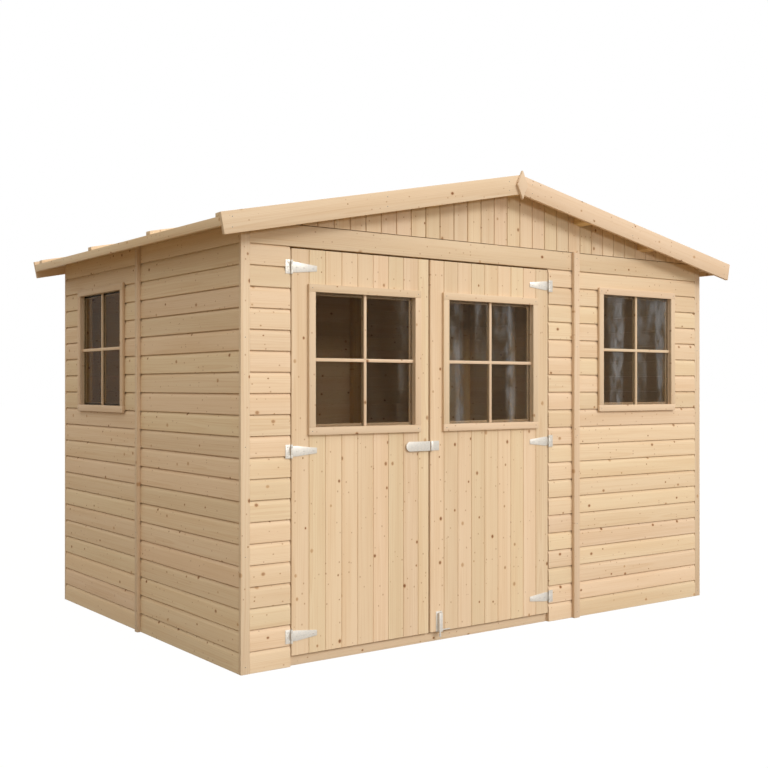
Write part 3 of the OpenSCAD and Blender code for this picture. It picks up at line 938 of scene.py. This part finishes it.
def upright_nails(node):
    """Nails down each strip of a node, driven from outside."""
    for part in cad_solids(node):
        low, high = span(part)
        middle, size = (low + high) / 2, high - low
        inward = Y if size.x > size.y else X
        if middle.dot(inward) > 0:
            inward = -inward
        count = round(size.z / NAIL_STEP)
        for k in range(count + 1):
            height = low.z + NAIL_EDGE + (size.z - 2 * NAIL_EDGE) * k / count
            face = middle - inward * abs(size.dot(inward)) / 2
            add_nail("root", Vector((face.x, face.y, height)), inward)


def bargeboard_nails():
    """A pair of nails at the ends and the middle of each bargeboard."""
    low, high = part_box("bargeboards")
    face = front_of("bargeboards")
    for outside, inward in ((low.y, Y), (high.y, -Y)):
        for x in (NAIL_OFF_RIDGE, EAVE.x / 2, EAVE.x - NAIL_EDGE):
            for side in (x, -x):
                behind = Vector((side, outside, 0)) + inward * TOUCH
                foot, head = face(behind, Z), face(behind + Z * OVERHEAD, -Z)
                for share in NAIL_SHARES:
                    height = foot.z + (head.z - foot.z) * share
                    add_nail("root", Vector((side, outside, height)), inward)


def show_fixings():
    """Makes one object of each body's screws and one of its nails."""
    for body, screws in SCREWS.items():
        both = (("_screws", screws, STEEL), ("_nails", NAILS[body], NAIL))
        for ending, piece, material in both:
            shown = piece.object(body + ending, material)
            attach(shown, body)


BODIES = ("root", "left_door", "right_door")
SCREWS = {body: Piece() for body in BODIES}
NAILS = {body: Piece() for body in BODIES}
SCREW_HEAD = screw_head()
JOINTS = frame["record"]["behaviour"]["joints"]
HINGE_LINES = [joint["pos_m"][0] for joint in JOINTS if joint["type"] == "hinge"]


# ---------- the shed ----------

SIDE_OF_WALL = {
    "front_wall_left": "front", "front_wall_middle": "front", "front_wall_right": "front",
    "left_wall_front": "left", "left_wall_rear": "left",
    "right_wall_front": "right", "right_wall_rear": "right",
    "back_wall_left": "back", "back_wall_right": "back"}
walls = {node: clad(node, side) for node, side in SIDE_OF_WALL.items()}
header("front_header")
gable("front_gable", "front")
gable("back_gable", "back")
roof("right_roof_boards", DOWN_RIGHT, UP_RIGHT)
roof("left_roof_boards", DOWN_LEFT, UP_LEFT)
floor("floor_boards")
left_leaf = leaf("left_door_boards", LEFT_LEAF_FIRST)
right_leaf = leaf("right_door_boards", RIGHT_LEAF_FIRST)
for node in ("corner_boards", "cover_strips", "bargeboards"):
    timber(node, TRIM)
timber("finials", TRIM, Z)
for node in ("eave_fascias", "roof_battens"):
    timber(node, PINE)
sill("door_sill")
for node in ("floor_bearers", "wall_plates", "wall_studs", "gable_rails", "ridge_beam", "purlins",
             "left_door_ledges", "right_door_ledges"):
    timber(node, FRAMING)
windows("wall_window_frames", "wall_window_glass", walls)
windows("left_door_window_frame", "left_door_glass", {"left_door_boards": left_leaf})
windows("right_door_window_frame", "right_door_glass", {"right_door_boards": right_leaf})
for node in ("left_door_hinge_straps", "right_door_hinge_straps", "hinge_wall_plates",
             "hasp_strap", "hasp_plate", "bolt_housing", "bolt_rod"):
    metal(node)
hinge_screws("left_door_hinge_straps", "left_door", STRAP_SCREWS)
hinge_screws("right_door_hinge_straps", "right_door", STRAP_SCREWS)
hinge_screws("hinge_wall_plates", "root", PLATE_SCREWS)
upright_nails("corner_boards")
upright_nails("cover_strips")
bargeboard_nails()
show_fixings()


# ---------- stage ----------

def background_share(tree):
    """1 where camera, metal or glass sees the floor or world, and 0 where that lights the shed."""
    path = tree.node("LightPath").outputs
    seen = tree.math("ADD", path["Is Camera Ray"], path["Is Glossy Ray"])
    return tree.math("ADD", seen, path["Is Transmission Ray"], clamp=True)


def stage_floor():
    """A pale floor that shows white to camera, metal and glass, and keeps the shed's shadow."""
    mesh = bpy.data.meshes.new("floor")
    corners = ((-1, -1), (1, -1), (1, 1), (-1, 1))
    points = [(x * FLOOR_REACH, y * FLOOR_REACH, 0) for x, y in corners]
    mesh.from_pydata(points, [], [(0, 1, 2, 3)])
    made = add_object("stage_floor", mesh)
    made.location.z = -TOUCH
    tree = Tree("stage_floor")
    plain = tree.node("BsdfDiffuse", {"Color": FLOOR_TONE})
    glow = tree.node("Emission", {"Color": WHITE, "Strength": FLOOR_GLOW})
    share = tree.math("MULTIPLY", background_share(tree), FLOOR_GLOW_SHARE)
    both = tree.node("MixShader", {0: share, 1: plain.outputs[0], 2: glow.outputs[0]})
    tree.node("OutputMaterial", {"Surface": both.outputs[0]})
    mesh.materials.append(tree.owner)


def world():
    """Soft even light, which shows as white behind the shed."""
    made = bpy.data.worlds.new("studio")
    bpy.context.scene.world = made
    tree = Tree("studio", made)
    seen = background_share(tree)
    height = tree.split(tree.node("TexCoord").outputs["Generated"])[2]
    soft = tree.rise(height, 0.0, 1.0, SKY_LOW, SKY_HIGH)
    strength = tree.node("Mix", {0: seen, 2: soft, 3: 1.0}).outputs[0]
    tone = tree.mix(seen, SKY_TONE, WHITE)
    back = tree.node("Background", {"Color": tone, "Strength": strength})
    tree.node("OutputWorld", {"Surface": back.outputs[0]})


def lamp(name, size, power, where):
    """A round soft lamp that points at the shed."""
    data = bpy.data.lights.new(name, "AREA")
    data.shape = "DISK"
    data.size = size
    data.energy = power
    made = add_object(name, data)
    made.location = where
    made.rotation_euler = (LAMPS_LOOK_AT - Vector(where)).to_track_quat("-Z", "Y").to_euler()


stage_floor()
world()
lamp("key", *KEY_LAMP)
lamp("low", *LOW_LAMP)

camera_data = bpy.data.cameras.new("camera")
camera_data.lens = CAMERA_LENS
camera = add_object("camera", camera_data)
camera.location = CAMERA_PLACE
camera.rotation_euler = Euler((math.radians(CAMERA_TILT), 0, math.radians(CAMERA_TURN)))
bpy.context.scene.camera = camera
bpy.context.scene.view_settings.view_transform = "Standard"
